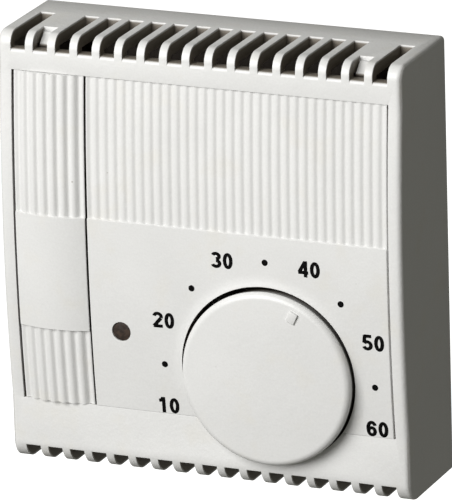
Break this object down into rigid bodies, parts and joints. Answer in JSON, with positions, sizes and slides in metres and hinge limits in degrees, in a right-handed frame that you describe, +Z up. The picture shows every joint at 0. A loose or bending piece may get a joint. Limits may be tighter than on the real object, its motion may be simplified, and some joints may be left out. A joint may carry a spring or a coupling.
{
  "type": "wall thermostat",
  "caption": "Surface-mounted room or floor thermostat: slotted rectangular housing, ribbed inlay, indicator lamp and a large round setting dial.",
  "frame": {"origin": "centre of the back of the base plate, on the wall plane", "axes": "+Y into the wall, the dial faces -Y; +X to the right of someone facing the dial; +Z up"},
  "size_m": [0.0786, 0.0252, 0.0822],
  "materials": {
    "housing": "fine moulded texture",
    "inlay": "satin, ribbed",
    "dial": "satin",
    "base": "moulded",
    "lens": "smoked, polished",
    "lamp": "clear red",
    "board": "solder mask",
    "black_plastic": "moulded",
    "steel": "plated",
    "brass": "stamped",
    "copper": "enamelled winding",
    "grey_plastic": "moulded",
    "red_plastic": "moulded",
    "blue_plastic": "moulded",
    "yellow_film": "dipped",
    "aluminium": "drawn can",
    "fuse_glass": "clear"
  },
  "bodies": {
    "housing": {"base_plate": "base", "cover_shell": "housing", "fascia_panel": "inlay", "side_strip": "inlay", "lamp_lens": "lens", "indicator_lamp": "lamp", "lamp_spacer": "black_plastic", "circuit_board": "board", "control_case": "black_plastic", "control_bushing": "steel", "terminal_block": "grey_plastic", "relay_base": "black_plastic", "relay_cap": "blue_plastic", "relay_yoke": "steel", "relay_coil": "copper", "film_capacitor": "yellow_film", "smoothing_capacitor": "aluminium", "fuse_tube": "fuse_glass", "fuse_clip_left": "steel", "fuse_clip_right": "steel", "surge_limiter": "red_plastic", "controller_chip": "black_plastic", "air_sensor": "black_plastic", "board_screw_1": "steel", "board_screw_2": "steel", "board_screw_3": "steel", "board_screw_4": "steel", "clamp_screw_1": "steel", "clamp_screw_2": "steel", "clamp_screw_3": "steel", "clamp_screw_4": "steel", "clamp_screw_5": "steel", "clamp_screw_6": "steel"},
    "dial": {"dial_knob": "dial", "low_limit_ring": "blue_plastic", "high_limit_ring": "red_plastic", "control_shaft": "steel", "control_wiper": "brass"},
    "left_catch": {"release_catch_left": "base"},
    "right_catch": {"release_catch_right": "base"},
    "armature": {"relay_armature": "steel"}
  },
  "joints": [
    {"name": "dial_turn", "type": "hinge", "parent": "housing", "child": "dial", "pos_m": [0.0127, 0, -0.01875], "axis": [0, 1, 0], "range_deg": [-140.5, 91.5]},
    {"name": "left_catch_flex", "type": "hinge", "parent": "housing", "child": "left_catch", "pos_m": [-0.0308, -0.003, 0.0373], "axis": [1, 0, 0], "range_deg": [0, 8], "stiffness_Nm_per_rad": 0.5},
    {"name": "right_catch_flex", "type": "hinge", "parent": "housing", "child": "right_catch", "pos_m": [0.0308, -0.003, 0.0373], "axis": [1, 0, 0], "range_deg": [0, 8], "stiffness_Nm_per_rad": 0.5},
    {"name": "armature_swing", "type": "hinge", "parent": "housing", "child": "armature", "pos_m": [-0.01375, -0.0104, -0.0222], "axis": [-1, 0, 0], "range_deg": [0, 6], "stiffness_Nm_per_rad": 0.02}
  ]
}
